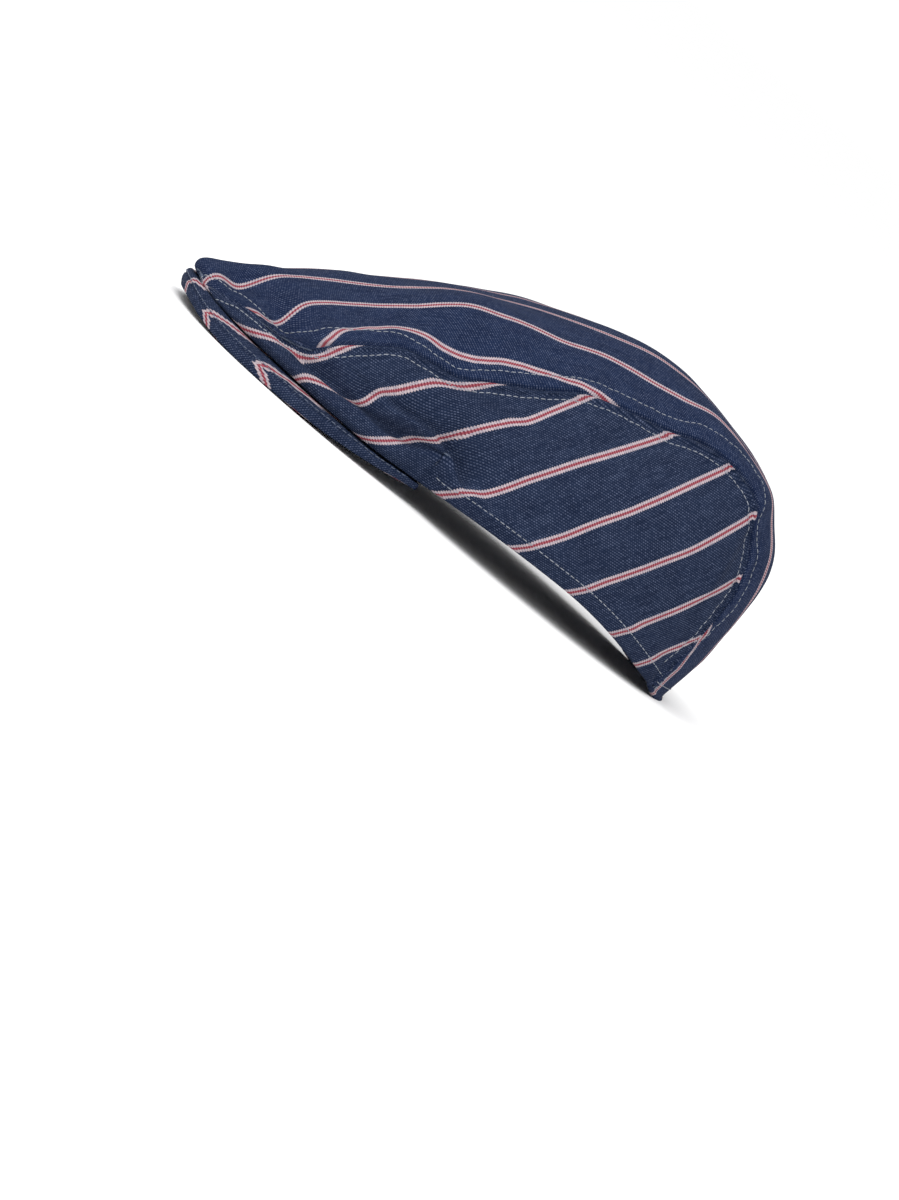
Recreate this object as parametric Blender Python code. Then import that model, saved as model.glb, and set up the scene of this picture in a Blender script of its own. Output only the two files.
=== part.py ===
"""Flat cap of striped denim: a long top panel, two side panels and a stiff cloth covered peak.

The cap rests on the floor on the sides of its peak and on its nape. The peak points along -Y, the wearer's
left is +X and the origin lies on the floor under the middle of the cap. Lengths are in metres.
"""
import math
from collections import namedtuple

import bmesh
import bpy
from mathutils import Vector

# Overall sizes.
LENGTH = 0.2868
CROWN_HALF_WIDTH = 0.082
HEIGHT = 0.1157

# Head opening, an oval whose rear end is the nape.
HEAD_HALF_LENGTH = 0.107
HEAD_HALF_WIDTH = 0.082
NAPE_SETBACK = 0.0030
RIM_ARCH = 0.1296 * HEIGHT

# Peak: its outline is part of an ellipse round the front of the cap.
PEAK_HALF_WIDTH = 0.076
PEAK_REACH = 0.085
PEAK_TURN = math.radians(115.4)
PEAK_WALL = 0.0475 * HEIGHT
PEAK_BOARD = 0.0389 * HEIGHT
PEAK_ROLL_INSET = 0.0085
PEAK_FRONT_LIFT = 0.1017 * HEIGHT
PEAK_REST = 0.0605 * HEIGHT

# Cloth and clearances.
CLOTH = 0.0018
TIP_CLOTH = 0.6
TIP_LENGTH = 0.025
SEAM_GAP = 0.0004
SEAT_GAP = 0.0004
ROLL_HEIGHT = 0.0864 * HEIGHT

# Mesh density.
STEPS_PER_SECTION = 2
EVENING_ROUNDS = 60
LEAST_STRETCH = 0.45
TOP_STEPS = 16
SIDE_STEPS = 10
PEAK_STEPS = 44

# The middle of the half section lies at this share of the way from the spine to the seam.
MID_SHARE = 0.57

Section = namedtuple(
    "Section", "spine_y spine_z mid_z shoulder bow seam_x seam_y seam_z edge roll_up roll_out ledge bulge")

# Crown sections from the front edge to the nape. Lengths along y are shares of LENGTH, heights shares of HEIGHT,
# seam_x a share of CROWN_HALF_WIDTH, and the last four shares of ROLL_HEIGHT. The bow is the power by which the
# section runs back from the spine to the seam, and the shoulder the one by which it drops near the seam. The edge runs from 0 at the tip of the peak over 1 at its corner
# to 2 at the nape.
SECTIONS = [
    Section(0.005, 0.111, 0.109, 4, 1.40, 0.152, 0.013, 0.106, 0.083, 0.00, 0.00, 0.00, 0.00),
    Section(0.000, 0.150, 0.139, 4, 1.40, 0.268, 0.033, 0.130, 0.160, 0.18, 0.05, 0.00, 0.00),
    Section(0.005, 0.180, 0.163, 4, 1.45, 0.445, 0.080, 0.162, 0.296, 0.50, 0.15, 0.00, 0.00),
    Section(0.027, 0.215, 0.178, 4, 1.50, 0.610, 0.127, 0.182, 0.428, 0.75, 0.28, 0.22, 0.00),
    Section(0.052, 0.254, 0.186, 4, 1.60, 0.695, 0.165, 0.213, 0.515, 0.80, 0.33, 0.30, 0.03),
    Section(0.081, 0.304, 0.212, 4, 1.70, 0.720, 0.177, 0.252, 0.545, 0.80, 0.33, 0.34, 0.05),
    Section(0.116, 0.353, 0.312, 4, 1.80, 0.738, 0.190, 0.296, 0.573, 0.80, 0.33, 0.40, 0.10),
    Section(0.181, 0.462, 0.413, 4, 1.90, 0.762, 0.227, 0.375, 0.636, 0.80, 0.32, 0.50, 0.20),
    Section(0.254, 0.575, 0.524, 4, 2.00, 0.778, 0.272, 0.458, 0.718, 0.80, 0.30, 0.60, 0.30),
    Section(0.321, 0.677, 0.622, 4, 2.00, 0.788, 0.321, 0.474, 0.812, 0.85, 0.28, 0.60, 0.38),
    Section(0.373, 0.748, 0.694, 4, 2.00, 0.802, 0.366, 0.488, 0.893, 1.00, 0.26, 0.45, 0.42),
    Section(0.425, 0.816, 0.765, 4, 2.00, 0.802, 0.411, 0.569, 0.972, 1.30, 0.26, 0.25, 0.42),
    Section(0.481, 0.879, 0.820, 4, 2.00, 0.788, 0.467, 0.663, 1.048, 1.40, 0.30, 0.10, 0.45),
    Section(0.544, 0.941, 0.878, 4, 2.00, 0.761, 0.530, 0.740, 1.129, 1.50, 0.32, 0.00, 0.55),
    Section(0.617, 0.986, 0.919, 4, 2.00, 0.723, 0.607, 0.793, 1.234, 1.60, 0.32, 0.00, 0.70),
    Section(0.680, 0.998, 0.950, 4, 2.00, 0.688, 0.670, 0.825, 1.328, 1.60, 0.30, 0.00, 0.75),
    Section(0.735, 0.986, 0.970, 5, 2.00, 0.656, 0.721, 0.866, 1.402, 1.60, 0.28, 0.00, 0.75),
    Section(0.795, 0.959, 0.952, 6, 2.00, 0.628, 0.774, 0.878, 1.469, 1.60, 0.26, 0.00, 0.75),
    Section(0.862, 0.918, 0.914, 7, 2.00, 0.594, 0.827, 0.858, 1.536, 1.60, 0.25, 0.00, 0.70),
    Section(0.906, 0.870, 0.868, 8, 2.00, 0.565, 0.865, 0.812, 1.585, 1.60, 0.25, 0.00, 0.65),
    Section(0.942, 0.777, 0.782, 8, 2.00, 0.534, 0.883, 0.730, 1.618, 1.50, 0.25, 0.00, 0.55),
    Section(0.979, 0.664, 0.678, 7, 2.00, 0.494, 0.913, 0.635, 1.650, 1.40, 0.25, 0.00, 0.45),
    Section(0.996, 0.550, 0.556, 6, 2.00, 0.457, 0.935, 0.501, 1.681, 1.20, 0.22, 0.00, 0.35),
    Section(1.000, 0.406, 0.406, 4, 2.00, 0.449, 0.940, 0.372, 1.703, 0.90, 0.16, 0.00, 0.20),
    Section(0.998, 0.207, 0.207, 4, 2.00, 0.470, 0.939, 0.190, 1.727, 0.45, 0.08, 0.00, 0.10),
    Section(0.984, 0.000, 0.007, 4, 2.00, 0.512, 0.933, 0.026, 1.753, 0.00, 0.00, 0.00, 0.00),
]

PeakSection = namedtuple("PeakSection", "turn rest wall inset rise")

# Peak sections from the tip to the corner: the height of the lower edge as a share of PEAK_REST, the edge wall as
# a share of PEAK_WALL, the set back of the crown's roll as a share of PEAK_ROLL_INSET, and the rise of the top
# from the wall to that roll as a share of PEAK_BOARD.
PEAK_SECTIONS = [
    PeakSection(0.00, 0.600, 0.88, 0.22, 0.72),
    PeakSection(0.10, 0.560, 0.74, 0.26, 0.88),
    PeakSection(0.20, 0.300, 0.74, 0.60, 0.95),
    PeakSection(0.34, 0.000, 0.88, 0.97, 0.95),
    PeakSection(0.50, 0.000, 1.00, 0.96, 0.80),
    PeakSection(0.68, 0.150, 1.00, 0.72, 0.42),
    PeakSection(0.84, 0.500, 0.70, 0.48, 0.12),
    PeakSection(1.00, 0.980, 0.50, 0.06, 0.00),
]

Fold = namedtuple("Fold", "x y reach lift")

# Dents and puffs of the top panel: place as shares of CROWN_HALF_WIDTH, to the left, and LENGTH; reach and lift as
# shares of ROLL_HEIGHT.
FOLDS = [
    Fold(0.18, 0.060, 0.75, -0.60),
    Fold(-0.20, 0.040, 0.90, -0.15),
    Fold(0.40, 0.330, 2.40, 0.60),
]

Finish = namedtuple("Finish", "color roughness")
DENIM = Finish((0.028, 0.045, 0.105, 1.0), 0.9)
PEAK_DENIM = Finish((0.022, 0.036, 0.085, 1.0), 0.9)


def clear_scene():
    for old in list(bpy.data.objects):
        bpy.data.objects.remove(old, do_unlink=True)


def spline(values, place):
    """Catmull-Rom curve through equally spaced values, read at a place counted in rows."""
    last = len(values) - 1
    index = min(int(place), last - 1)
    f = place - index
    before = values[max(index - 1, 0)]
    start, end = values[index], values[index + 1]
    after = values[min(index + 2, last)]
    return 0.5 * (2 * start + (end - before) * f + (2 * before - 5 * start + 4 * end - after) * f * f
                  + (3 * start - before - 3 * end + after) * f ** 3)


def curve_through(knots, place):
    """Centripetal Catmull-Rom curve through unevenly spaced points, read at a place counted in knots."""
    last = len(knots) - 1
    index = min(int(place), last - 1)
    start, end = knots[index], knots[index + 1]
    before = knots[index - 1] if index else 2 * start - end
    after = knots[index + 2] if index + 2 <= last else 2 * end - start
    points = [before, start, end, after]
    times = [0.0]
    for near, far in zip(points, points[1:]):
        times.append(times[-1] + math.sqrt((far - near).length))
    time = times[1] + (times[2] - times[1]) * (place - index)
    first = [points[k].lerp(points[k + 1], (time - times[k]) / (times[k + 1] - times[k])) for k in range(3)]
    second = [first[k].lerp(first[k + 1], (time - times[k]) / (times[k + 2] - times[k])) for k in range(2)]
    return second[0].lerp(second[1], (time - times[1]) / (times[2] - times[1]))


def column(rows, name, place):
    return spline([getattr(row, name) for row in rows], place)


def peak_value(name, turn):
    """A column of the peak table at a turn, with straight runs eased between its rows."""
    for low, high in zip(PEAK_SECTIONS, PEAK_SECTIONS[1:]):
        if turn <= high.turn:
            f = (turn - low.turn) / (high.turn - low.turn)
            return getattr(low, name) * (1 - f) + getattr(high, name) * f
    return getattr(PEAK_SECTIONS[-1], name)


def smooth_peak_value(name, turn):
    """The same column, averaged over a short stretch so that its corners are rounded."""
    reach = 0.05
    total = sum(peak_value(name, abs(turn + reach * k / 4)) for k in range(-4, 5))
    return total / 9


def peak_outline(turn):
    """Point of the peak's outline and its outward direction, both level; turn is 0 at the tip, 1 at the corner."""
    angle = turn * PEAK_TURN
    point = Vector((PEAK_HALF_WIDTH * math.sin(angle), PEAK_REACH * (1 - math.cos(angle)), 0))
    outward = Vector((PEAK_REACH * math.sin(angle), -PEAK_HALF_WIDTH * math.cos(angle), 0))
    return point, outward.normalized()


def peak_heights(turn):
    """Heights of the lower edge, of the top of the edge wall and of the seat of the roll."""
    low = PEAK_REST * smooth_peak_value("rest", turn)
    wall = low + PEAK_WALL * smooth_peak_value("wall", turn)
    seat = wall + PEAK_BOARD * smooth_peak_value("rise", turn)
    return low, wall, seat


def roll_inset(turn):
    return PEAK_ROLL_INSET * smooth_peak_value("inset", turn)


def head_centre_y():
    return LENGTH - NAPE_SETBACK - HEAD_HALF_LENGTH


def head_oval(angle, inset=0.0):
    """Point of the head opening's oval; angle is 0 at the front and pi at the nape."""
    return Vector(((HEAD_HALF_WIDTH - inset) * math.sin(angle),
                   head_centre_y() - (HEAD_HALF_LENGTH - inset) * math.cos(angle), 0))


def corner_angle(inset=0.0):
    """Angle on the head oval at the peak's corner."""
    corner_y = PEAK_REACH * (1 - math.cos(PEAK_TURN))
    return math.acos((head_centre_y() - corner_y) / (HEAD_HALF_LENGTH - inset))


def rim_height(angle):
    """The rim is highest over the ears, drops to the peak's corner and lies flat on the floor at the nape."""
    top, flat = math.radians(100), math.radians(165)
    if angle >= flat:
        return 0.0
    if angle > top:
        return RIM_ARCH * math.cos((angle - top) / (flat - top) * math.pi / 2) ** 2
    start = corner_angle()
    corner = peak_heights(1.0)[2] + SEAT_GAP
    f = (top - angle) / (top - start)
    return RIM_ARCH - (RIM_ARCH - corner) * f * f


def edge_point(share):
    """The crown's lower edge: on the peak up to share 1, then round the head opening to 2 at the nape."""
    if share <= 1:
        point, outward = peak_outline(share)
        point -= outward * roll_inset(share)
        point.z = peak_heights(share)[2] + SEAT_GAP
        return point
    start = corner_angle()
    angle = start + (share - 1) * (math.pi - start)
    point = head_oval(angle)
    point.z = rim_height(angle)
    joint, _ = peak_outline(1.0)
    blend = max(0.0, 1 - (share - 1) / 0.08)
    point.x += (joint.x - head_oval(start).x) * blend
    return point


def last_place():
    return len(SECTIONS) - 1


def spine_point(place):
    if place <= 0:
        return edge_point(0.0)
    if place >= last_place():
        return edge_point(2.0)
    return Vector((0, LENGTH * column(SECTIONS, "spine_y", place), HEIGHT * column(SECTIONS, "spine_z", place)))


def seam_point(place):
    if place <= 0 or place >= last_place():
        return edge_point(SECTIONS[0].edge if place <= 0 else SECTIONS[-1].edge)
    return Vector((CROWN_HALF_WIDTH * column(SECTIONS, "seam_x", place),
                   LENGTH * column(SECTIONS, "seam_y", place),
                   HEIGHT * column(SECTIONS, "seam_z", place)))


def folded(point, share):
    """The point lifted by the folds, which fade out towards the seam."""
    for fold in FOLDS:
        away_x = point.x - fold.x * CROWN_HALF_WIDTH
        away_y = point.y - fold.y * LENGTH
        near = math.exp(-(away_x ** 2 + away_y ** 2) / (fold.reach * ROLL_HEIGHT) ** 2)
        point.z += fold.lift * ROLL_HEIGHT * near * (1 - share ** 8)
    return point


def top_point(place, across):
    """Outer face of the top panel; across is -1 at the right seam, 0 on the spine and 1 at the left seam."""
    spine, seam = spine_point(place), seam_point(place)
    share = abs(across)
    if place <= 0 or place >= last_place():
        ends = (0.0, SECTIONS[0].edge) if place <= 0 else (2.0, SECTIONS[-1].edge)
        point = edge_point(ends[0] + (ends[1] - ends[0]) * share)
        point.x = math.copysign(point.x, across)
        return point
    mid_z = HEIGHT * column(SECTIONS, "mid_z", place)
    shoulder = column(SECTIONS, "shoulder", place)
    m2, drop = MID_SHARE ** 2, MID_SHARE ** shoulder
    whole = seam.z - spine.z
    square = (mid_z - spine.z - whole * drop) / (m2 - drop)
    point = Vector((seam.x * across,
                    spine.y + (seam.y - spine.y) * share ** column(SECTIONS, "bow", place),
                    spine.z + square * share ** 2 + (whole - square) * share ** shoulder))
    return folded(point, share)


def side_point(place, rise):
    """Outer face of the left side panel; rise is 0 at the lower edge and 1 at the seam."""
    if place <= 0 or place >= last_place():
        return seam_point(place)
    share = column(SECTIONS, "edge", place)
    low = edge_point(share)
    if rise <= 0:
        return low
    seam = seam_point(place)
    run = edge_point(min(share + 0.01, 2.0)) - edge_point(share - 0.01)
    outward = Vector((run.y, -run.x, 0)).normalized()
    roll_up, roll_out, ledge, bulge = (
        ROLL_HEIGHT * column(SECTIONS, name, place) for name in ("roll_up", "roll_out", "ledge", "bulge"))
    up = Vector((0, 0, 1))
    swell = low + up * roll_up * 0.5 + outward * roll_out
    crest = low + up * roll_up + outward * roll_out * 0.6
    valley = crest - outward * ledge + up * min(0.3 * roll_up, 0.25 * ROLL_HEIGHT)
    upper = (valley + seam) / 2 + outward * bulge
    knots = [low, swell, crest, valley, upper, seam]
    return curve_through(knots, rise * (len(knots) - 1))


def crown_skin():
    """One mesh of the crown's outer face; a face's material index says which panel it belongs to."""
    skin = bmesh.new()
    places = [k / STEPS_PER_SECTION for k in range(last_place() * STEPS_PER_SECTION + 1)]
    grids = [
        [[top_point(place, 2 * k / TOP_STEPS - 1) for k in range(TOP_STEPS + 1)] for place in places],
        [[side_point(place, 1 - k / SIDE_STEPS) for k in range(SIDE_STEPS + 1)] for place in places],
    ]
    grids.append([[Vector((-p.x, p.y, p.z)) for p in reversed(row)] for row in grids[1]])
    for panel, grid in enumerate(grids):
        verts = [[skin.verts.new(point) for point in row] for row in grid]
        for front, back in zip(verts, verts[1:]):
            for k in range(len(front) - 1):
                face = skin.faces.new((front[k], front[k + 1], back[k + 1], back[k]))
                face.material_index = panel
    bmesh.ops.remove_doubles(skin, verts=skin.verts, dist=1e-6)
    skin.normal_update()
    return skin


def drawn_back(vert, panel):
    """The step that takes a border vertex of a panel off the seam by half the gap, square to the seam."""
    near = [face.calc_center_median() for face in vert.link_faces if face.material_index == panel]
    step = sum(near, Vector()) / len(near) - vert.co
    along = Vector()
    for edge in vert.link_edges:
        if len({face.material_index for face in edge.link_faces}) > 1:
            run = edge.other_vert(vert).co - vert.co
            along += run if run.dot(along) >= 0 else -run
    if along.length:
        along.normalize()
        step -= along * step.dot(along)
    return step.normalized() * SEAM_GAP / 2


def on_rim(item):
    return any(edge.is_boundary for edge in item.link_edges)


def inner_places(skin):
    """Where each vertex lies on the inner face: one cloth thickness in, evened out where a fold is too tight."""
    inward = {}
    for vert in skin.verts:
        way = -vert.normal
        inward[vert] = Vector((way.x, way.y, 0)).normalized() if on_rim(vert) else way
    depth = {vert: CLOTH * min(1.0, TIP_CLOTH + (1 - TIP_CLOTH) * vert.co.y / TIP_LENGTH) for vert in skin.verts}
    for _ in range(EVENING_ROUNDS):
        turned = {}
        for vert in skin.verts:
            edges = [edge for edge in vert.link_edges if edge.is_boundary or not on_rim(vert)]
            others = [edge.other_vert(vert) for edge in edges]
            tight = any(depth[vert] * (inward[other] - inward[vert]).dot(other.co - vert.co)
                        < (LEAST_STRETCH - 1) * (other.co - vert.co).length_squared for other in others)
            if tight:
                turned[vert] = sum((inward[other] for other in others), inward[vert]).normalized()
        if not turned:
            break
        inward.update(turned)
    return {vert: vert.co + inward[vert] * depth[vert] for vert in skin.verts}


def panel_object(skin, inside, panel, name, finish):
    """A cloth wall made from one panel of the skin, with its edges drawn back by half the seam's gap."""
    faces = [face for face in skin.faces if face.material_index == panel]
    verts = {vert for face in faces for vert in face.verts}
    outer, inner, solid = {}, {}, bmesh.new()
    for vert in verts:
        at_seam = any(face.material_index != panel for face in vert.link_faces)
        step = drawn_back(vert, panel) if at_seam else Vector()
        outer[vert] = solid.verts.new(vert.co + step)
        inner[vert] = solid.verts.new(inside[vert] + step)
    for face in faces:
        solid.faces.new([outer[vert] for vert in face.verts])
        solid.faces.new([inner[vert] for vert in reversed(face.verts)])
        for loop in face.loops:
            beside = [other for other in loop.edge.link_faces if other.material_index == panel]
            if len(beside) == 1:
                start, end = loop.vert, loop.link_loop_next.vert
                solid.faces.new((outer[end], outer[start], inner[start], inner[end]))
    return finished_object(solid, name, finish)


def peak_section(turn):
    """Closed section of the peak, from the lower edge over the top to the head opening and back below."""
    share = abs(turn)
    outline, outward = peak_outline(share)
    low, wall, seat = peak_heights(share)
    inset = roll_inset(share)
    clear = CLOTH + SEAT_GAP
    start = corner_angle(4 * clear)
    inner = head_oval(share * start, 4 * clear)
    width = (outline - inner).length
    ledge = min(inset + 2 * clear, 0.6 * width)
    front_lift = PEAK_FRONT_LIFT * (1 - share ** 2)
    end = seat + front_lift
    board = PEAK_BOARD * (1 - 0.45 * share ** 4)
    inward = (inner - outline).normalized()

    def at(across, height):
        return outline + inward * across + Vector((0, 0, height))

    floor = max(seat - board, low)
    middle = (ledge + width) / 2
    return [
        at(0, low),
        at(0, low + 0.7 * (wall - low)),
        at(0.12 * inset + 0.0004, wall),
        at(0.55 * inset + 0.0006, wall + 0.62 * (seat - wall)),
        at(inset, seat),
        at(ledge, seat),
        at(middle, seat + 0.62 * front_lift),
        at(width, end),
        at(width, end - board),
        at(middle, seat + 0.62 * front_lift - board),
        at(ledge, floor),
        at(0.55 * inset + 0.0018, low + 0.5 * (floor - low)),
        at(0.0014, low),
    ]


def peak_object():
    """The peak as one closed body, with its sections joined from corner to corner."""
    solid = bmesh.new()
    loops = []
    for k in range(PEAK_STEPS + 1):
        turn = 2 * k / PEAK_STEPS - 1
        points = peak_section(turn)
        for point in points:
            point.x = math.copysign(point.x, turn) if turn else 0.0
        loops.append([solid.verts.new(point) for point in points])
    count = len(loops[0])
    for near, far in zip(loops, loops[1:]):
        for k in range(count):
            after = (k + 1) % count
            solid.faces.new((near[k], far[k], far[after], near[after]))
    solid.faces.new(loops[0])
    solid.faces.new(list(reversed(loops[-1])))
    bmesh.ops.triangulate(solid, faces=[face for face in solid.faces if len(face.verts) > 4])
    return finished_object(solid, "peak", PEAK_DENIM)


def finished_object(solid, name, finish):
    """The body as an object with its own cloth material, centred on the middle of the cap's length."""
    bmesh.ops.translate(solid, vec=(0, -LENGTH / 2, 0), verts=solid.verts)
    bmesh.ops.recalc_face_normals(solid, faces=solid.faces)
    mesh = bpy.data.meshes.new(name)
    solid.to_mesh(mesh)
    solid.free()
    mesh.shade_smooth()
    mesh.set_sharp_from_angle(angle=math.radians(50))
    material = bpy.data.materials.new(name + "_denim")
    material.use_nodes = True
    shader = material.node_tree.nodes["Principled BSDF"]
    shader.inputs["Base Color"].default_value = finish.color
    shader.inputs["Roughness"].default_value = finish.roughness
    mesh.materials.append(material)
    made = bpy.data.objects.new(name, mesh)
    bpy.context.scene.collection.objects.link(made)
    return made


def main():
    clear_scene()
    skin = crown_skin()
    inside = inner_places(skin)
    for panel, name in enumerate(("top_panel", "side_panel_left", "side_panel_right")):
        panel_object(skin, inside, panel, name, DENIM)
    skin.free()
    peak_object()


main()
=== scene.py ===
"""Flat cap of striped denim: cloth panels, peak cover and stitching laid over the plain solids of the cap."""

import math
from bisect import bisect_right
from collections import namedtuple

import bmesh
import bpy
from bpy.props import FloatProperty, FloatVectorProperty, PointerProperty
from mathutils import Matrix, Vector, noise
from mathutils.bvhtree import BVHTree
from mathutils.kdtree import KDTree


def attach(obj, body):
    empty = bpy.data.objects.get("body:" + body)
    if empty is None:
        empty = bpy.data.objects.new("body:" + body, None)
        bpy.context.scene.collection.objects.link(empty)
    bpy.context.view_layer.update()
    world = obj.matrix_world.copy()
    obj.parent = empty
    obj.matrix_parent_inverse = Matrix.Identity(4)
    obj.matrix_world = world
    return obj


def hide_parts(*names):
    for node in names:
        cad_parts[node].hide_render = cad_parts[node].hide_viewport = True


bl_info = {
    "name": "Striped Flat Cap",
    "version": (1, 0, 0),
    "blender": (4, 5, 0),
    "location": "3D View > Sidebar > Cap",
    "description": "Dresses the solids of a flat cap in striped denim, with its seams, hem and stitching",
    "category": "Object",
}

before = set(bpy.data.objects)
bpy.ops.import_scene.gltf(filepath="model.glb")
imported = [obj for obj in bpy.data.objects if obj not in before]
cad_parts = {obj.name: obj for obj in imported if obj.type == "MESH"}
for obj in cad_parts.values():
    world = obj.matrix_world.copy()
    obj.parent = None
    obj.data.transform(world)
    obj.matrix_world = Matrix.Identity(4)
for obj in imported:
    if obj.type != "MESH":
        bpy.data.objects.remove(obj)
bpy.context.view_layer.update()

MM = 0.001

# Overall sizes, the same as those of the solids.
LENGTH = 0.2868
CROWN_HALF_WIDTH = 0.082
HEIGHT = 0.1157
HEAD_HALF_LENGTH = 0.107
HEAD_HALF_WIDTH = 0.082
NAPE_SETBACK = 0.0030
HEAD_CENTRE_Y = LENGTH - NAPE_SETBACK - HEAD_HALF_LENGTH
RIM_ARCH = 0.1296 * HEIGHT
RIM_TOP = math.radians(100)
RIM_FLAT = math.radians(165)
PEAK_HALF_WIDTH = 0.076
PEAK_REACH = 0.085
PEAK_TURN = math.radians(115.4)
PEAK_WALL = 0.0475 * HEIGHT
PEAK_BOARD = 0.0389 * HEIGHT
PEAK_ROLL_INSET = 0.0085
PEAK_FRONT_LIFT = 0.1017 * HEIGHT
PEAK_REST = 0.0605 * HEIGHT
CLOTH = 0.0018
SEAT_GAP = 0.0004
ROLL_HEIGHT = 0.0864 * HEIGHT
MID_SHARE = 0.57

Section = namedtuple(
    "Section", "spine_y spine_z mid_z shoulder bow seam_x seam_y seam_z edge roll_up roll_out ledge bulge")

# Crown sections from the front edge to the nape, in shares of the overall sizes.
SECTIONS = [Section(*row) for row in (
    (0.005, 0.111, 0.109, 4, 1.4, 0.152, 0.013, 0.106, 0.083, 0, 0, 0, 0),
    (0, 0.15, 0.139, 4, 1.4, 0.268, 0.033, 0.13, 0.16, 0.18, 0.05, 0, 0),
    (0.005, 0.18, 0.163, 4, 1.45, 0.445, 0.08, 0.162, 0.296, 0.5, 0.15, 0, 0),
    (0.027, 0.215, 0.178, 4, 1.5, 0.61, 0.127, 0.182, 0.428, 0.75, 0.28, 0.22, 0),
    (0.052, 0.254, 0.186, 4, 1.6, 0.695, 0.165, 0.213, 0.515, 0.8, 0.33, 0.3, 0.03),
    (0.081, 0.304, 0.212, 4, 1.7, 0.72, 0.177, 0.24, 0.545, 0.8, 0.33, 0.34, 0.05),
    (0.116, 0.353, 0.312, 4, 1.8, 0.738, 0.19, 0.274, 0.573, 0.8, 0.33, 0.4, 0.1),
    (0.181, 0.462, 0.413, 4, 1.9, 0.762, 0.227, 0.354, 0.636, 0.8, 0.32, 0.5, 0.2),
    (0.254, 0.575, 0.524, 4, 2, 0.778, 0.272, 0.434, 0.718, 0.8, 0.3, 0.6, 0.3),
    (0.321, 0.677, 0.622, 4, 2, 0.788, 0.321, 0.462, 0.812, 0.85, 0.28, 0.6, 0.38),
    (0.373, 0.748, 0.694, 4, 2, 0.802, 0.366, 0.484, 0.893, 1, 0.26, 0.45, 0.42),
    (0.425, 0.816, 0.765, 4, 2, 0.802, 0.411, 0.552, 0.972, 1.3, 0.26, 0.25, 0.42),
    (0.481, 0.879, 0.82, 4, 2, 0.788, 0.467, 0.632, 1.048, 1.4, 0.3, 0.1, 0.45),
    (0.544, 0.941, 0.878, 4, 2, 0.761, 0.53, 0.735, 1.129, 1.5, 0.32, 0, 0.55),
    (0.617, 0.986, 0.919, 4, 2, 0.723, 0.607, 0.793, 1.234, 1.6, 0.32, 0, 0.7),
    (0.68, 0.998, 0.95, 4, 2, 0.688, 0.67, 0.825, 1.328, 1.6, 0.3, 0, 0.75),
    (0.735, 0.986, 0.97, 5, 2, 0.656, 0.721, 0.866, 1.402, 1.6, 0.28, 0, 0.75),
    (0.795, 0.959, 0.952, 6, 2, 0.628, 0.774, 0.878, 1.469, 1.6, 0.26, 0, 0.75),
    (0.862, 0.918, 0.914, 7, 2, 0.594, 0.827, 0.858, 1.536, 1.6, 0.25, 0, 0.7),
    (0.906, 0.87, 0.868, 8, 2, 0.565, 0.865, 0.812, 1.585, 1.6, 0.25, 0, 0.65),
    (0.942, 0.777, 0.782, 8, 2, 0.534, 0.883, 0.73, 1.605, 1.5, 0.25, 0, 0.55),
    (0.979, 0.664, 0.678, 7, 2, 0.5, 0.913, 0.632, 1.63, 1.4, 0.25, 0, 0.45),
    (0.996, 0.55, 0.556, 6, 1.95, 0.502, 0.931, 0.495, 1.652, 1.2, 0.22, 0, 0.35),
    (1, 0.406, 0.406, 4, 1.9, 0.567, 0.929, 0.372, 1.67, 0.9, 0.16, 0, 0.2),
    (0.998, 0.207, 0.207, 4, 1.9, 0.585, 0.926, 0.19, 1.69, 0.45, 0.08, 0, 0.1),
    (0.984, 0, 0.007, 4, 1.9, 0.573, 0.922, 0.026, 1.711, 0, 0, 0, 0),
)]
LAST = len(SECTIONS) - 1

# Sections of the peak from its tip round to its corner, in shares of its sizes.
PeakSection = namedtuple("PeakSection", "turn rest wall inset rise")
PEAK_SECTIONS = [PeakSection(*row) for row in (
    (0, 0.6, 0.88, 0.22, 0.72),
    (0.1, 0.56, 0.74, 0.26, 0.88),
    (0.2, 0.3, 0.74, 0.6, 0.95),
    (0.34, 0, 0.88, 0.97, 0.95),
    (0.5, 0, 1, 0.96, 0.8),
    (0.68, 0.15, 1, 0.72, 0.42),
    (0.84, 0.5, 0.7, 0.48, 0.12),
    (1, 0.98, 0.5, 0.06, 0),
)]

Fold = namedtuple("Fold", "x y reach lift")

# Dents and puffs of the top panel, in shares of the crown's width and length and of the roll's height.
FOLDS = [
    Fold(0.18, 0.060, 0.75, -0.60),
    Fold(-0.20, 0.040, 0.90, -0.15),
    Fold(0.40, 0.330, 2.40, 0.60),
]

# A soft fold of the side panels that hangs over the cloth below it: places along the length and height, in mm.
OVERHANG = [Vector(place) for place in (
    (80, 29), (88, 31.5), (94, 33.4), (101, 34.9), (107, 35.3), (114, 34.4), (120, 32.8), (126, 30), (133, 25.5),
    (140, 20.5))]
OVERHANG_RISE = 2.4 * MM
OVERHANG_DEPTH = 5.0 * MM
OVERHANG_SAG = 4.0 * MM
# In mm: how far the cloth stays full above the line, falls in and eases out below it, and fades at its ends.
OVERHANG_FULL, OVERHANG_FALL, OVERHANG_EASE, OVERHANG_FADE = 8, 4, 7, 16
# The share of the cloth wall's thickness that is left at the fold, where the two layers would meet.
OVERHANG_WALL = 0.15


class Puff(namedtuple("Puff", "height place spread")):
    """A soft rise of the cloth: its height, the place where it is fullest, and how far it spreads."""

    def at(self, place):
        return self.height * bell(place - self.place, self.spread)


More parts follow.
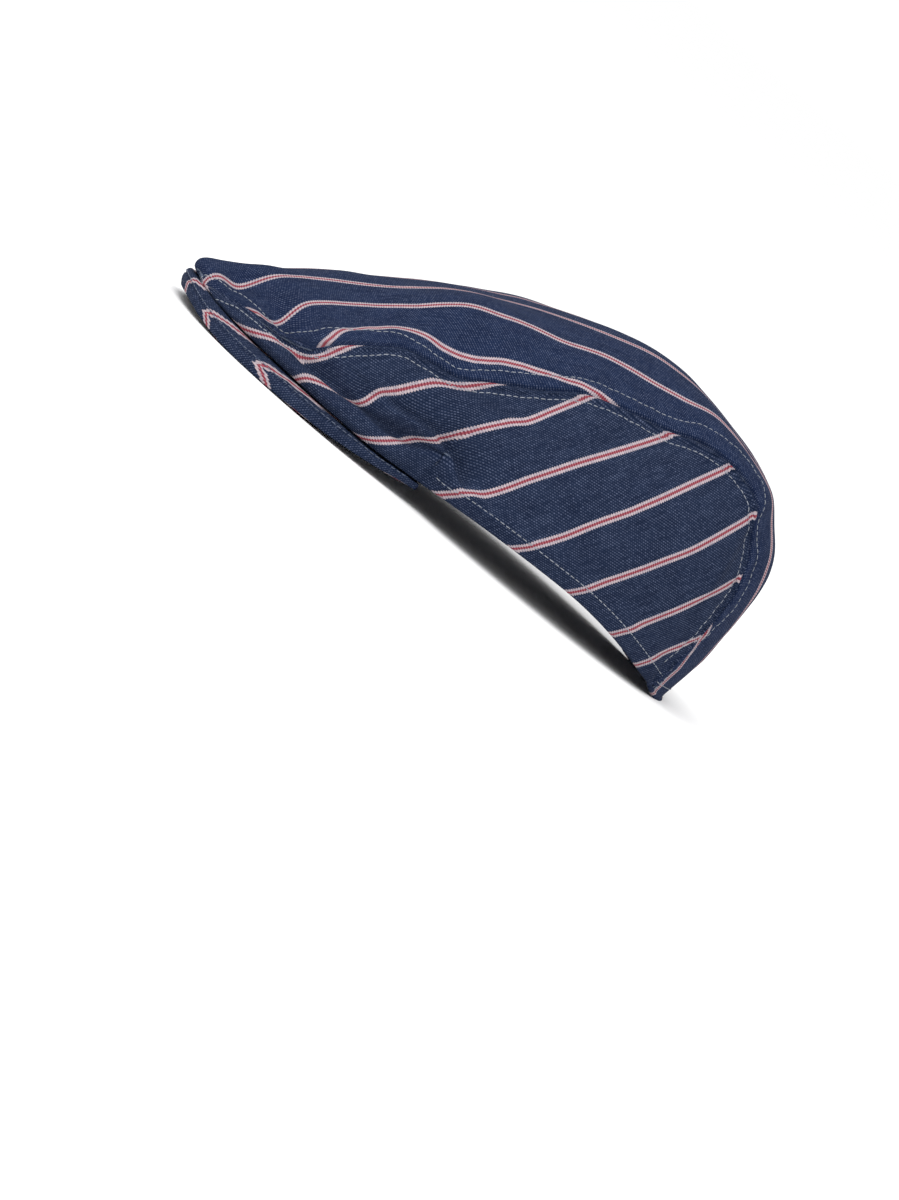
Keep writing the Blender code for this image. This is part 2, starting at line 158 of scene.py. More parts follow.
# Soft fullness of the cloth beyond the solids: beside the seams, along the crown's top, at the front, and how much
# deeper and lower the hollow behind the front roll is. The places count the crown's sections.
SEAM_BULGE = Puff(3.4 * MM, 6.8, 1.9)
CROWN_RISES = (Puff(1.0 * MM, 8.6, 1.6), Puff(1.0 * MM, 15.2, 1.6))
FRONT_FULLNESS = Puff(2.4 * MM, 0.9, 1.5)
HOLLOW_DEEPER = Puff(0.8 * MM, 6, 3.2)
HOLLOW_LOWER = Puff(2.2 * MM, 6, 3.2)
# The same for the peak, at shares of the way round from its tip.
PEAK_FULLNESS = Puff(2.8 * MM, -0.25, 0.3)

# Width of the cloth from stripe to stripe, in mm, and its bounds where the cloth is pushed together or drawn out.
STRIPE_REPEAT, LEAST_SPACING, MOST_SPACING = 25.0, 10.0, 160.0

# Where the side panel's stripes run. Each row is one stripe from the front to the back, and its numbers are the
# places along the cap's length, in mm from the peak's tip, where it passes the heights of cloth in CLOTH_HEIGHTS.
CLOTH_HEIGHTS = (0, 6, 10, 14, 20, 30, 45, 50, 60, 80, 105)
SIDE_STRIPES = [
    (-16, -12, -10, -8, -5, 0, 10, 13, 20, 32, 50),
    (4, 8, 10, 12, 15, 22, 35, 40, 50, 62, 80),
    (22, 30, 37, 48, 53, 58, 66, 69, 76, 88, 104),
    (51.5, 54, 62.5, 74, 79.5, 83, 97, 109, 120.5, 138, 156),
    (86, 94, 99, 103, 108.5, 119, 132.5, 138, 144, 156, 174),
    (129, 133.5, 137, 142.5, 147.5, 153.5, 163.5, 167, 174.5, 189, 206),
    (167, 171.5, 174, 177, 181, 187, 197, 200, 206, 217.5, 232),
    (199, 203, 205.5, 208, 212, 218.5, 228, 231, 236, 246, 258),
    (228, 231.5, 234, 236, 239.5, 245, 253, 256, 262, 272, 286),
    (248.5, 251.5, 253.5, 255.5, 258.5, 265, 274, 276.5, 281, 290, 302),
    (268, 271, 273, 276, 280, 286, 294, 296.5, 301, 310, 322),
]

# Distance of the top panel's stripes on its left half from its middle, in mm, at each of the crown's sections. On
# its right half they run straight.
TOP_STRIPES = [
    (12.5, 13, 14, 14, 13, 10.5, 9, 13, 15.5, 14.5, 11, 9, 11.5, 14, 12.5, 12.5, 13, 13, 13, 13, 13, 13, 13, 14,
     15, 15),
    (36, 36, 36, 37, 38, 37.5, 34, 33.5, 37, 36, 37, 37, 37.5, 36, 36, 36, 34, 32, 31, 30, 28, 26, 24, 22, 20, 18),
    (61, 61, 60, 60, 60, 59.5, 58.5, 54, 54.5, 59, 59.5, 58.5, 58, 60, 62, 62, 61, 60, 60, 59, 58, 55, 51, 47.5,
     43.5, 40),
    (86, 86, 86, 85, 85, 84, 83, 80, 81, 84, 84, 83, 82, 84, 84, 84, 84, 84, 84, 84, 84, 82, 78, 72, 68, 64),
]
RIGHT_STRIPES = (-85, -61, -37, -13)

# Distance of the stitch rows from the seam, in mm, at places along the crown's sections.
ROW_PLACES = (0, 3, 4.6, 6.2, 7.8, 9.4, 10.5, 12.4, 14, 15, 16.3, 18.4, 19.2, 20, 21.5, 23, 25)
TOP_ROW = (3.8, 6.6, 7.6, 8.8, 6.5, 3.4, 4.8, 7.6, 7.4, 6.8, 9.4, 9.6, 4.0, 3.4, 6.5, 5.0, 4.5)
SIDE_ROW = (5.0, 4.4, 5.0, 5.6, 4.2, 4.4, 4.8, 4.2, 4.3, 5.2, 4.8, 4.8, 6.5, 5.4, 6.6, 8.0, 7.0)

# Where the peak's stripes cross its lower edge, its ridge and the groove under the crown, in shares of the way
# round from the tip, 0, to the left corner, 1, or the right one, -1.
PEAK_STRIPES = [
    (-1.50, -1.50, -1.50),
    (-0.58, -0.54, -0.66),
    (-0.32, -0.29, -0.38),
    (-0.13, -0.12, -0.09),
    (0.064, 0.050, 0.102),
    (0.264, 0.230, 0.340),
    (0.520, 0.470, 0.600),
    (1.400, 1.350, 1.450),
]


def spline(values, place):
    """Catmull-Rom curve through equally spaced values, read at a place counted in rows."""
    last = len(values) - 1
    index = clamp(int(place), 0, last - 1)
    f = place - index
    before = values[max(index - 1, 0)]
    start, end = values[index], values[index + 1]
    after = values[min(index + 2, last)]
    return 0.5 * (2 * start + (end - before) * f + (2 * before - 5 * start + 4 * end - after) * f * f
                  + (3 * start - before - 3 * end + after) * f ** 3)


def curve_through(knots, place):
    """Centripetal Catmull-Rom curve through unevenly spaced points, read at a place counted in knots."""
    last = len(knots) - 1
    index = min(int(place), last - 1)
    start, end = knots[index], knots[index + 1]
    before = knots[index - 1] if index else 2 * start - end
    after = knots[index + 2] if index + 2 <= last else 2 * end - start
    points = [before, start, end, after]
    times = [0.0]
    for near, far in zip(points, points[1:]):
        times.append(times[-1] + math.sqrt(max((far - near).length, 1e-9)))
    time = times[1] + (times[2] - times[1]) * (place - index)
    first = [points[k].lerp(points[k + 1], (time - times[k]) / (times[k + 1] - times[k])) for k in range(3)]
    second = [first[k].lerp(first[k + 1], (time - times[k]) / (times[k + 2] - times[k])) for k in range(2)]
    return second[0].lerp(second[1], (time - times[1]) / (times[2] - times[1]))


COLUMNS = {name: [getattr(row, name) for row in SECTIONS] for name in Section._fields}


def column(name, place):
    return spline(COLUMNS[name], place)


def clamp(value, low=0.0, high=1.0):
    return max(low, min(high, value))


def mirrored(point, side=-1):
    return Vector((side * point.x, point.y, point.z))


def smoothstep(low, high, value):
    f = clamp((value - low) / (high - low))
    return f * f * (3 - 2 * f)


def bell(value, width):
    return math.exp(-(value / width) ** 2)


def peak_value(name, turn):
    for low, high in zip(PEAK_SECTIONS, PEAK_SECTIONS[1:]):
        if turn <= high.turn:
            f = (turn - low.turn) / (high.turn - low.turn)
            return getattr(low, name) * (1 - f) + getattr(high, name) * f
    return getattr(PEAK_SECTIONS[-1], name)


def smooth_peak_value(name, turn):
    return sum(peak_value(name, abs(turn + 0.05 * k / 4)) for k in range(-4, 5)) / 9


def peak_outline(turn):
    """Point of the peak's outline and its outward direction, both level; turn is 0 at the tip, 1 at the corner."""
    angle = turn * PEAK_TURN
    point = Vector((PEAK_HALF_WIDTH * math.sin(angle), PEAK_REACH * (1 - math.cos(angle)), 0))
    outward = Vector((PEAK_REACH * math.sin(angle), -PEAK_HALF_WIDTH * math.cos(angle), 0))
    return point, outward.normalized()


def peak_heights(turn):
    """Heights of the peak's lower edge, of the ridge over its edge wall and of its seat for the crown."""
    low = PEAK_REST * smooth_peak_value("rest", turn)
    wall = low + PEAK_WALL * smooth_peak_value("wall", turn)
    seat = wall + PEAK_BOARD * smooth_peak_value("rise", turn)
    return low, wall, seat


def roll_inset(turn):
    return PEAK_ROLL_INSET * smooth_peak_value("inset", turn)


def head_oval(angle, inset=0.0):
    return Vector(((HEAD_HALF_WIDTH - inset) * math.sin(angle),
                   HEAD_CENTRE_Y - (HEAD_HALF_LENGTH - inset) * math.cos(angle), 0))


def corner_angle(inset=0.0):
    corner_y = PEAK_REACH * (1 - math.cos(PEAK_TURN))
    return math.acos((HEAD_CENTRE_Y - corner_y) / (HEAD_HALF_LENGTH - inset))


def rim_height(angle):
    """Height of the head opening's edge: it arches up from the peak's corner and is flat at the nape."""
    if angle >= RIM_FLAT:
        return 0.0
    if angle > RIM_TOP:
        return RIM_ARCH * math.cos((angle - RIM_TOP) / (RIM_FLAT - RIM_TOP) * math.pi / 2) ** 2
    start = corner_angle()
    corner = peak_heights(1.0)[2] + SEAT_GAP
    f = (RIM_TOP - angle) / (RIM_TOP - start)
    return RIM_ARCH - (RIM_ARCH - corner) * f * f


def edge_point(share):
    """The crown's lower edge: on the peak up to share 1, then round the head opening to 2 at the nape."""
    if share <= 1:
        point, outward = peak_outline(share)
        point -= outward * roll_inset(share)
        point.z = peak_heights(share)[2] + SEAT_GAP
        return point
    start = corner_angle()
    angle = start + (share - 1) * (math.pi - start)
    point = head_oval(angle)
    point.z = rim_height(angle)
    joint, _ = peak_outline(1.0)
    blend = max(0.0, 1 - (share - 1) / 0.08)
    point.x += (joint.x - head_oval(start).x) * blend
    return point


def edge_outward(share):
    """Level direction out of the crown's lower edge, evened out over the peak's corner."""
    reach = 0.01 + 0.10 * bell(share - 1, 0.09)
    run = edge_point(min(share + reach, 2.0)) - edge_point(share - reach)
    return Vector((run.y, -run.x, 0)).normalized()


def spine_point(place):
    if place <= 0:
        return edge_point(0.0)
    if place >= LAST:
        return edge_point(2.0)
    return Vector((0, LENGTH * column("spine_y", place), HEIGHT * column("spine_z", place)))


def seam_point(place):
    if place <= 0 or place >= LAST:
        return edge_point(SECTIONS[0].edge if place <= 0 else SECTIONS[-1].edge)
    return Vector((CROWN_HALF_WIDTH * column("seam_x", place), LENGTH * column("seam_y", place),
                   HEIGHT * column("seam_z", place)))


def folded(point, share):
    for fold in FOLDS:
        away_x = point.x - fold.x * CROWN_HALF_WIDTH
        away_y = point.y - fold.y * LENGTH
        near = math.exp(-(away_x ** 2 + away_y ** 2) / (fold.reach * ROLL_HEIGHT) ** 2)
        point.z += fold.lift * ROLL_HEIGHT * near * (1 - share ** 8)
    return point


def top_section(place):
    """The top panel's outer face at one place, as a function of the way across from -1 to 1."""
    if place <= 0 or place >= LAST:
        ends = (0.0, SECTIONS[0].edge) if place <= 0 else (2.0, SECTIONS[-1].edge)

        def flat(across):
            point = edge_point(ends[0] + (ends[1] - ends[0]) * abs(across))
            point.x = math.copysign(point.x, across)
            return point
        return flat
    spine, seam, bow = spine_point(place), seam_point(place), column("bow", place)
    shoulder = column("shoulder", place)
    m2, drop = MID_SHARE ** 2, MID_SHARE ** shoulder
    whole = seam.z - spine.z
    square = (HEIGHT * column("mid_z", place) - spine.z - whole * drop) / (m2 - drop)

    puff = SEAM_BULGE.at(place)
    crest = sum(rise.at(place) for rise in CROWN_RISES)
    forward = FRONT_FULLNESS.at(place) * smoothstep(0, 0.5, place)

    def arched(across):
        share = abs(across)
        point = Vector((seam.x * across, spine.y + (seam.y - spine.y) * share ** bow,
                        spine.z + square * share ** 2 + (whole - square) * share ** shoulder))
        out = puff * bell(share - 0.88, 0.075)
        point += Vector((math.copysign(0.8 * out, across), -forward * bell(across + 0.35, 0.45),
                         0.6 * out + crest * bell(share, 0.5)))
        return folded(point, share)
    return arched


def side_section(place):
    """The left side panel's outer face at one place, as a function of the rise from 0 at the rim to 1."""
    seam = seam_point(place)
    if place <= 0 or place >= LAST:
        return lambda rise: seam.copy()
    share = column("edge", place)
    low, outward = edge_point(share), edge_outward(share)
    roll_up, roll_out, ledge, bulge = (
        ROLL_HEIGHT * column(name, place) for name in ("roll_up", "roll_out", "ledge", "bulge"))
    up = Vector((0, 0, 1))
    swell = low + up * roll_up * 0.5 + outward * roll_out
    crest = low + up * roll_up + outward * roll_out * 0.6
    valley = crest - outward * (ledge + HOLLOW_DEEPER.at(place)) + up * (
        min(0.3 * roll_up, 0.25 * ROLL_HEIGHT) - HOLLOW_LOWER.at(place))
    upper = (valley + seam) / 2 + outward * bulge
    knots = [low, swell, crest, valley, upper, seam]
    return lambda rise: curve_through(knots, clamp(rise) * (len(knots) - 1))


class Track:
    """A row of points that is read at a distance from its first one."""

    def __init__(self, points):
        self.points, self.runs = points, [0.0]
        for near, far in zip(points, points[1:]):
            self.runs.append(self.runs[-1] + (far - near).length)
        self.length = self.runs[-1]

    def at(self, run):
        k = clamp(bisect_right(self.runs, run), 1, len(self.runs) - 1)
        step = max(self.runs[k] - self.runs[k - 1], 1e-9)
        return self.points[k - 1].lerp(self.points[k], (run - self.runs[k - 1]) / step)


class Path(Track):
    """A curve that is read at a distance from its start."""

    def __init__(self, point_at, start=0.0, end=1.0, samples=60):
        self.point_at, self.keys = point_at, [start + (end - start) * k / samples for k in range(samples + 1)]
        super().__init__([point_at(key) for key in self.keys])

    def at(self, run):
        run = clamp(run, 0.0, self.length)
        k = min(bisect_right(self.runs, run), len(self.runs) - 1)
        near, far = self.runs[k - 1], self.runs[k]
        f = (run - near) / (far - near) if far > near else 0.0
        return self.point_at(self.keys[k - 1] + (self.keys[k] - self.keys[k - 1]) * f)


def seam_normal(place):
    """Outward direction of the left seam, midway between the two panels that meet there."""
    place = clamp(place, 0.05, LAST - 0.05)
    seam = seam_point(place)
    along = seam_point(place + 0.03) - seam_point(place - 0.03)
    to_top = top_section(place)(0.98) - seam
    to_side = side_section(place)(0.98) - seam
    return (along.cross(to_top).normalized() + to_side.cross(along).normalized()).normalized()


class SeamMap:
    """Finds how far a point is from the seams, and where along them it lies."""
    SAMPLES = 40

    def __init__(self):
        places = [k / self.SAMPLES for k in range(LAST * self.SAMPLES + 1)]
        track = Track([seam_point(place) for place in places])
        self.tree, self.spots = KDTree(2 * len(places)), []
        for place, run, point in zip(places, track.runs, track.points):
            normal = seam_normal(place)
            for side in (1, -1):
                self.tree.insert(mirrored(point, side), len(self.spots))
                self.spots.append((run, place, mirrored(normal, side)))
        self.tree.balance()

    def near(self, point):
        """The distance to the nearest seam, then the run along it, its place and its outward direction."""
        _, index, away = self.tree.find(point)
        return (away, *self.spots[index])


# Where each row of puckers starts in its noise, so that no two are alike, and the length of the peak's half row.
TOP_PUCKERS, SIDE_PUCKERS, PEAK_PUCKERS = 0, {1: 5, -1: 8}, 11
PEAK_HALF_RUN = 0.15
# Lengths along a seam of its waves of puckers, of their wander and of their uneven height.
PUCKER_WAVE, PUCKER_WANDER, PUCKER_UNEVEN = 1.6 * MM, 11 * MM, 6 * MM


def pucker(run, side):
    """Gathers along a seam: uneven waves, a few to each 10 mm."""
    return 0.6 * math.sin(run / PUCKER_WAVE + 1.7 * math.sin(run / PUCKER_WANDER)) + 0.9 * noise.noise(
        Vector((run / PUCKER_UNEVEN, side * 3.1, 0.4)))


def row_distance(place, panel):
    return MM * smooth_value(ROW_PLACES, TOP_ROW if panel == "top" else SIDE_ROW, place)


# Beside a seam: the widths of its groove and of the pinch along its stitches, the pinch's depth as a share of the
# band's height, and how far beyond the stitches the puckers fade out.
GROOVE_WIDTH, PINCH_WIDTH, PINCH_SHARE, PUCKER_REACH = 0.9 * MM, 0.8 * MM, 0.35, 9 * MM


def seam_lift(away, run, row, side, cap):
    """Height of the cloth over its smooth shape near a seam: a groove, a thick band and a pinched stitch row."""
    lift = -cap.seam_depth * bell(away, GROOVE_WIDTH)
    lift += cap.seam_puff * smoothstep(0, 1.6 * MM, away) * (1 - smoothstep(row - 1.2 * MM, row + 0.6 * MM, away))
    lift -= PINCH_SHARE * cap.seam_puff * bell(away - row, PINCH_WIDTH)
    fade = smoothstep(0.4 * MM, 2.5 * MM, away) * (1 - smoothstep(row, row + PUCKER_REACH, away))
    return lift + cap.pucker_depth * pucker(run, side) * fade


# Broad and fine waves of soft cloth: their height, their sizes along the cap's axes, and their shift.
SOFT_WAVES = ((0.8 * MM, (0.030, 0.034, 0.026), 0), (0.25 * MM, (0.011, 0.013, 0.010), 7))


def soft_folds(point):
    return sum(height * noise.noise(Vector((point.x / x + shift, point.y / y, point.z / z)))
               for height, (x, y, z), shift in SOFT_WAVES)


def overhang(point):
    """Lift and sag of the side panel's soft fold: full above its line, then falling in steeply and easing back."""
    here = point.yz / MM
    nearest, above = math.inf, 0.0
    for start, end in zip(OVERHANG, OVERHANG[1:]):
        run = end - start
        f = clamp((here - start).dot(run) / run.dot(run))
        offset = here - start - run * f
        if offset.length < nearest:
            nearest, above = offset.length, offset.y
    fade = smoothstep(0, OVERHANG_FADE, min((here - end).length for end in (OVERHANG[0], OVERHANG[-1])))
    fall = smoothstep(0, OVERHANG_FALL, nearest) if above < 0 else 0.0
    full = bell(nearest, OVERHANG_FULL) if above > 0 else 1 - fall
    eased = fall * bell(max(0.0, nearest - OVERHANG_FALL), OVERHANG_EASE)
    return (OVERHANG_RISE * full - OVERHANG_DEPTH * eased) * fade, OVERHANG_SAG * full * fade


def cloth_rows(step):
    """Places from the front to the nape, a step of cloth apart where the cloth is longest."""
    samples, longest = 8, [0.0]
    for k in range(1, LAST * samples + 1):
        near, far = (k - 1) / samples, k / samples
        apart = max((line(far) - line(near)).length for line in (spine_point, seam_point))
        longest.append(longest[-1] + apart)
    count = round(longest[-1] / step)
    rows, k = [], 0
    for n in range(count + 1):
        target = longest[-1] * n / count
        while k < len(longest) - 2 and longest[k + 1] < target:
            k += 1
        rows.append(min(LAST, (k + (target - longest[k]) / (longest[k + 1] - longest[k])) / samples))
    return rows


# Distances from a seam and from the rim, in mm, where the cloth's mesh has corners, the count of steps between
# them on the top and the side panel, and the most of a panel's width that the close steps at one edge take.
SEAM_STEPS = (0, 0.2, 0.45, 0.75, 1.1, 1.6, 2.3, 3.1, 3.9, 4.6, 5.2, 5.7, 6.2, 6.9, 7.8, 9, 10.5, 12.5)
RIM_STEPS = (0, 0.6, 1.2, 1.9, 2.7, 3.6, 4.6, 5.6, 6.6, 7.4, 8, 8.6, 9.4, 10.4, 11.6)
TOP_MIDDLE_STEPS, SIDE_MIDDLE_STEPS = 84, 44
EDGE_SHARE = 0.35


def spread(total, low_steps, high_steps, middle):
    """Distances across a panel, close together near its edges."""
    low, high = ([step * MM * min(1.0, EDGE_SHARE * total / (steps[-1] * MM)) for step in steps]
                 for steps in (low_steps, high_steps))
    high = [total - run for run in reversed(high)]
    between = [low[-1] + (high[0] - low[-1]) * k / middle for k in range(1, middle)]
    return low + between + high


def turned_in(outer, out, radius, run):
    """The edge of a cloth panel turned in: round a small radius and back up behind its outer face.

    The outer face is given as a function of the distance from the edge."""
    start = outer(radius)
    if run > math.pi * radius:
        return outer(radius + run - math.pi * radius) - out * 2 * radius
    up = (outer(radius + MM) - start).normalized()
    return start - out * radius * (1 - math.cos(run / radius)) - up * radius * math.sin(run / radius)


def along_points(points):
    """A function that reads a row of points at a distance from its first one."""
    def at(distance):
        for near, far in zip(points, points[1:]):
            step = (far - near).length
            if distance <= step:
                break
            distance -= step
        return near.lerp(far, distance / step)
    return at


def turn_in_runs(radius, inside):
    """Distances from the start of a turned in edge to its end."""
    return [radius * math.pi * k / 6 for k in range(1, 7)] + [radius * math.pi + inside * k / 3 for k in (1, 2, 3)]


def stripe_spacing(rows, counts, row, across):
    """Width of cloth from one stripe to the next, in mm, square to the stripes."""
    above, below = min(row + 1, len(rows) - 1), max(row - 1, 0)
    right, left = min(across + 1, len(rows[0]) - 1), max(across - 1, 0)
    along = rows[above][across] - rows[below][across]
    over = rows[row][right] - rows[row][left]
    along_count = counts[above][across] - counts[below][across]
    over_count = counts[row][right] - counts[row][left]
    e, f, g = over.dot(over), over.dot(along), along.dot(along)
    area = e * g - f * f
    if area <= 1e-4 * e * g:
        return STRIPE_REPEAT
    slope = (g * over_count ** 2 - 2 * f * over_count * along_count + e * along_count ** 2) / area
    return clamp(1 / math.sqrt(max(slope, 1e-9)) / MM, LEAST_SPACING, MOST_SPACING)


def cloth_mesh(rows, counts, widths, runs):
    """A grid of quads whose corners lie at the given rows of points, and where in the rows each corner is.

    Its UV maps hold cloth coordinates in mm, and the stripe count beside the width of cloth from stripe to stripe."""
    tall, wide = len(rows) - 1, len(rows[0]) - 1
    mesh = bmesh.new()
    for name in ("cloth", "stripe"):
        mesh.loops.layers.uv.new(name)
    mesh.verts.layers.deform.new()
    bmesh.ops.create_grid(mesh, x_segments=wide, y_segments=tall, size=1.0)
    cloth, stripe = (mesh.loops.layers.uv[name] for name in ("cloth", "stripe"))
    spots = {vert: (round((vert.co.y + 1) / 2 * tall), round((vert.co.x + 1) / 2 * wide)) for vert in mesh.verts}
    for vert, (row, across) in spots.items():
        vert.co = rows[row][across]
        band = (counts[row][across], stripe_spacing(rows, counts, row, across))
        for loop in vert.link_loops:
            loop[cloth].uv = (widths[row][across], runs[row][across])
            loop[stripe].uv = band
    return mesh, spots


def lift_cloth(mesh, spots, freedom, seams, cap, panel, side):
    """Moves each corner of a cloth mesh out or in: seam, puckers and, where the cloth is free, soft folds."""
    mesh.normal_update()
    moves = {}
    for vert, (row, across) in spots.items():
        away, run, place, seam_up = seams.near(vert.co)
        blend = smoothstep(0.5 * MM, 4 * MM, away)
        normal = (seam_up * (1 - blend) + vert.normal * blend).normalized()
        free = freedom[row][across]
        hand = side + (0 if vert.co.x > 0 else 1)
        lift = seam_lift(away, run, row_distance(place, panel), hand, cap) * (0.3 + 0.7 * free)
        lift += soft_folds(vert.co) * smoothstep(0, 6 * MM, away) * free
        moves[vert] = normal * lift
        if panel == "side":
            out, sag = overhang(vert.co)
            moves[vert] += (normal * out - Vector((0, 0, sag))) * smoothstep(3 * MM, 10 * MM, away) * free
    for vert, move in moves.items():
        vert.co += move


def placed(name, data, *materials):
    """A new object of the scene with the given data and materials."""
    for material in materials:
        data.materials.append(material)
    made = bpy.data.objects.new(name, data)
    bpy.context.scene.collection.objects.link(made)
    return made


def finished_object(mesh, name, materials, node, thickness=0.0):
    """The mesh as an object that stands for a solid of the cap, with a cloth wall where a thickness is given."""
    bmesh.ops.translate(mesh, vec=(0, -LENGTH / 2, 0), verts=mesh.verts)
    bmesh.ops.remove_doubles(mesh, verts=mesh.verts, dist=0.02 * MM)
    data = bpy.data.meshes.new(name)
    mesh.to_mesh(data)
    mesh.free()
    data.shade_smooth()
    made = placed(name, data, *materials)
    if thickness:
        wall = made.modifiers.new("Cloth", "SOLIDIFY")
        wall.thickness = thickness
        wall.offset = -1
        wall.material_offset = 1
        wall.use_quality_normals = True
    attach(made, "root")
    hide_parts(node)
    return made


def smooth_value(keys, values, at):
    """Smooth curve through the values given at rising keys, straight beyond its ends."""
    k = clamp(bisect_right(keys, at), 1, len(keys) - 1)
    span, rise = keys[k] - keys[k - 1], values[k] - values[k - 1]
    f = (at - keys[k - 1]) / span
    if f < 0 or f > 1:
        return values[k - 1] + rise * f
    start = (values[k] - values[k - 2]) / (keys[k] - keys[k - 2]) * span if k > 1 else rise
    end = (values[k + 1] - values[k - 1]) / (keys[k + 1] - keys[k - 1]) * span if k + 1 < len(keys) else rise
    return values[k - 1] + start * f + (3 * rise - 2 * start - end) * f * f + (start + end - 2 * rise) * f ** 3


def stripe_count(knots, value):
    """Place of a point among its stripes: a whole number on the middle of each stripe."""
    k = clamp(bisect_right(knots, value), 1, len(knots) - 1)
    return k - 1 + (value - knots[k - 1]) / (knots[k] - knots[k - 1])


def side_stripe(y, height):
    return stripe_count([smooth_value(CLOTH_HEIGHTS, row, height / MM) for row in SIDE_STRIPES], y / MM)


def top_stripe(x, place):
    return stripe_count([*RIGHT_STRIPES, *(spline(row, place) for row in TOP_STRIPES)], x / MM) - 3


def peak_stripe(turn, climb):
    """The climb is 0 at the lower edge, 1 at the ridge and 2 at the groove under the crown."""
    return stripe_count([smooth_value((0, 1, 2), row, climb) for row in PEAK_STRIPES], turn)


def both_ways(operation):
    """An operator of wires and its reflected form."""
    return (lambda wire, other: wire.maths(operation, wire, other),
            lambda wire, other: wire.maths(operation, other, wire))


class Wire:
    """A shader socket that takes part in plain Python sums."""

    def __init__(self, shader, socket):
        self.shader, self.socket = shader, socket

    def maths(self, operation, *values):
        return self.shader.node("ShaderNodeMath", {"operation": operation}, *values)

    __add__, __radd__ = both_ways("ADD")
    __sub__, __rsub__ = both_ways("SUBTRACT")
    __mul__, __rmul__ = both_ways("MULTIPLY")
    __truediv__, __rtruediv__ = both_ways("DIVIDE")

    def fraction(self):
        return self.maths("FRACT", self)

    def floor(self):
        return self.maths("FLOOR", self)

    def size(self):
        return self.maths("ABSOLUTE", self)

    def rise(self, low, high, below=0.0, above=1.0):
        """One value below the low mark, another above the high one, smooth between."""
        return self.shader.node("ShaderNodeMapRange", {"interpolation_type": "SMOOTHSTEP"},
                                self, low, high, below, above)

    def fall(self, low, high):
        return self.rise(low, high, 1.0, 0.0)


class Shader:
    """A new material and the one way its nodes are added."""

    def __init__(self, name):
        self.material = bpy.data.materials.new(name)
        self.material.use_nodes = True
        self.tree = self.material.node_tree
        self.surface = self.tree.nodes["Principled BSDF"]

    def node(self, kind, settings, *values, output=0, **named):
        """Adds a node: its settings first, then the values or links of its sockets; gives one of its outputs."""
        made = self.tree.nodes.new(kind)
        for key, value in settings.items():
            setattr(made, key, value)
        for key, value in list(enumerate(values)) + list(named.items()):
            socket = made.inputs[key if isinstance(key, int) else key.replace("_", " ")]
            self.connect(value, socket)
        return Wire(self, made.outputs[output])

    def connect(self, value, socket):
        if isinstance(value, Wire):
            self.tree.links.new(value.socket, socket)
        else:
            socket.default_value = value

    def mix(self, factor, first, second):
        made = self.tree.nodes.new("ShaderNodeMix")
        made.data_type = "RGBA"
        for name, value in (("Factor_Float", factor), ("A_Color", first), ("B_Color", second)):
            socket = next(item for item in made.inputs if item.identifier == name)
            self.connect(value, socket)
        return Wire(self, next(item for item in made.outputs if item.identifier == "Result_Color"))

    def finish(self, tone, roughness, reflection):
        """Gives the surface its colour, roughness and reflection, and hands over the material."""
        for name, value in (("Base Color", tone), ("Roughness", roughness), ("Specular IOR Level", reflection)):
            self.connect(value, self.surface.inputs[name])
        return self.material

    def vector(self, x, y, z):
        return self.node("ShaderNodeCombineXYZ", {}, x, y, z)

    def parts(self, vector):
        """The first two parts of a vector."""
        split = self.node("ShaderNodeSeparateXYZ", {}, vector).socket.node
        return Wire(self, split.outputs[0]), Wire(self, split.outputs[1])

    def noise(self, vector, scale, detail=2.0, roughness=0.5):
        return self.node("ShaderNodeTexNoise", {}, Vector=vector, Scale=scale, Detail=detail, Roughness=roughness)


def colour(value):
    """A tone with its alpha, as colour sockets take it."""
    return (value[0], value[1], value[2], 1.0)


# The direction across the twill's ribs, the length of its specks in rib widths, and their shift from rib to rib.
SLANT_ACROSS, SLANT_ALONG = 0.68, 0.73
SPECK_LENGTH, SPECK_SHIFT = 1.15, 0.43


